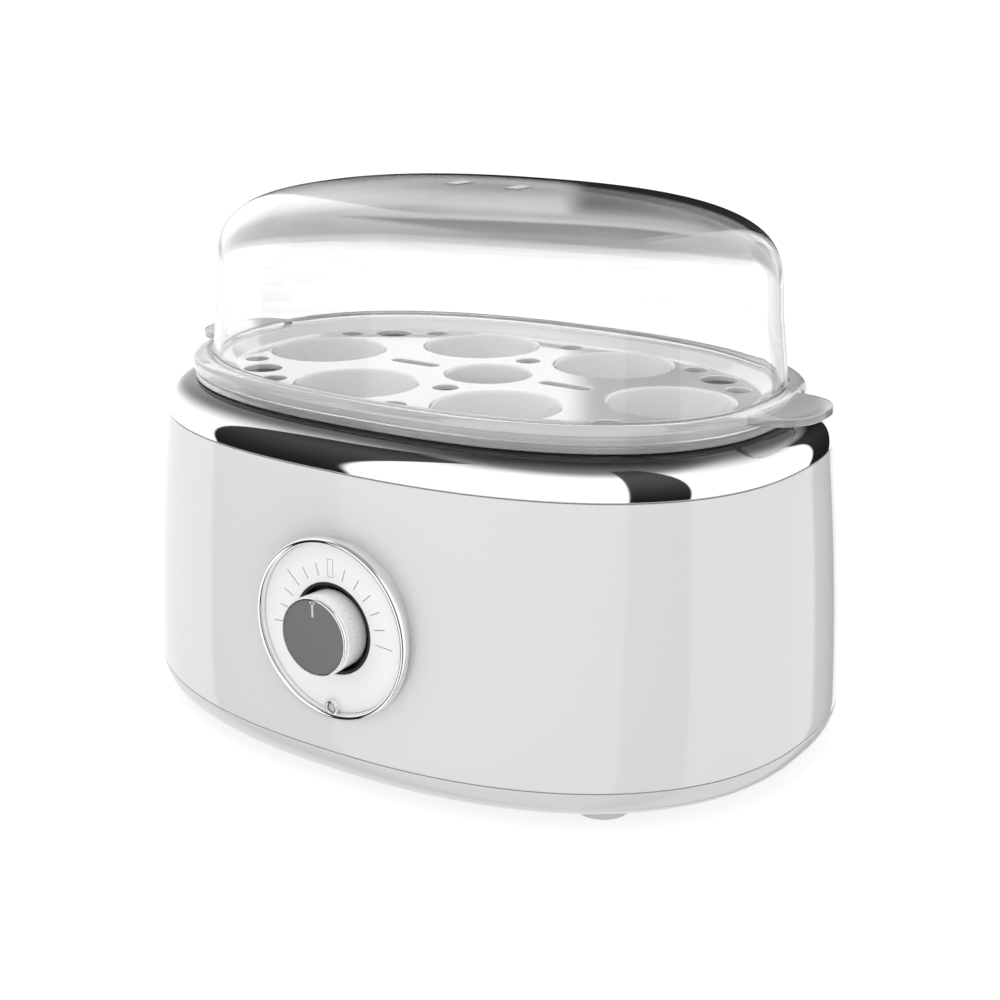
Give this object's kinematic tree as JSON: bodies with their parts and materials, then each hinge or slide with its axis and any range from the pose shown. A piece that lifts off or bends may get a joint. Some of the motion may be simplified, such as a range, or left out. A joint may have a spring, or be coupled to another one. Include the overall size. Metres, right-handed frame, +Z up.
{
  "type": "egg cooker",
  "caption": "Oval countertop egg cooker: housing with front dial and chrome top, lift-out egg tray with cups, clear domed lid with end grips.",
  "frame": {"origin": "middle of the underside of the bounding box, on the surface that the feet stand on", "axes": "+X along the long axis, -Y towards the dial (front), +Z up"},
  "size_m": [0.2403, 0.1876, 0.1748],
  "materials": {
    "housing_plastic": "very light grey-white moulded plastic, glossy",
    "base_plastic": "light grey-white moulded plastic, satin to glossy",
    "polished_chrome": "mirror-polished plating",
    "clear_plastic": "clear, polished, food-safe plastic",
    "plate_plastic": "white moulded plastic, smooth",
    "dial_plastic": "white satin plastic",
    "knob_plastic": "silver-white painted plastic",
    "knob_cap_dark": "dark grey satin disc",
    "pointer_white": "white inlay",
    "black_plastic": "black moulded plastic",
    "lens_plastic": "clear indicator light-guide",
    "dish_metal": "pressed stainless steel, satin",
    "silicone": "grey silicone",
    "cast_aluminium": "cast, matte",
    "heater_sheath": "heat-stained steel sheath",
    "shield_metal": "bright rolled sheet",
    "plated_steel": "zinc-plated steel",
    "brass_parts": "turned brass",
    "dark_resin": "dark phenolic resin",
    "board_laminate": "green laminate",
    "relay_case": "blue moulded case",
    "wire_sleeve": "heat-proof sleeve",
    "grey_rubber": "grey rubber"
  },
  "bodies": {
    "base": {"base_pan": "base_plastic", "outer_housing": "housing_plastic", "chrome_cover": "polished_chrome", "heating_dish": "dish_metal", "dish_seal": "silicone", "heat_spreader": "cast_aluminium", "heating_element": "heater_sheath", "boil_dry_thermostat": "dark_resin", "thermal_fuse": "plated_steel", "fuse_clip": "plated_steel", "heat_shield": "shield_metal", "shield_spacers": "plated_steel", "shield_nuts": "plated_steel", "dial_cup": "dial_plastic", "knob_well": "black_plastic", "dial_face": "dial_plastic", "bezel_ring": "polished_chrome", "indicator_lens": "lens_plastic", "dial_screws": "plated_steel", "regulator": "dark_resin", "regulator_nut": "brass_parts", "cord_inlet": "grey_rubber", "cord_clamp": "black_plastic", "clamp_screws": "plated_steel", "control_board": "board_laminate", "board_screws": "plated_steel", "relay": "relay_case", "transformer": "dark_resin", "buzzer": "black_plastic", "terminal_block": "plate_plastic", "heater_leads": "wire_sleeve", "mains_leads": "wire_sleeve", "base_screws": "plated_steel", "rubber_feet": "grey_rubber"},
    "knob": {"control_shaft": "plated_steel", "knob_body": "knob_plastic", "knob_trim_ring": "polished_chrome", "knob_cap": "knob_cap_dark", "knob_pointer": "pointer_white"},
    "egg_tray": {"tray_carrier": "clear_plastic", "egg_plate": "plate_plastic"},
    "lid": {"lid": "clear_plastic"}
  },
  "joints": [
    {"name": "knob_turn", "type": "hinge", "parent": "base", "child": "knob", "pos_m": [0.004, -0.0888, 0.0519], "axis": [0, -1, 0], "range_deg": [-95, 95]},
    {"name": "tray_lift", "type": "slide", "parent": "base", "child": "egg_tray", "axis": [0, 0, 1], "range_m": [0, 0.07]},
    {"name": "lid_lift", "type": "slide", "parent": "egg_tray", "child": "lid", "axis": [0, 0, 1], "range_m": [0, 0.08]}
  ]
}
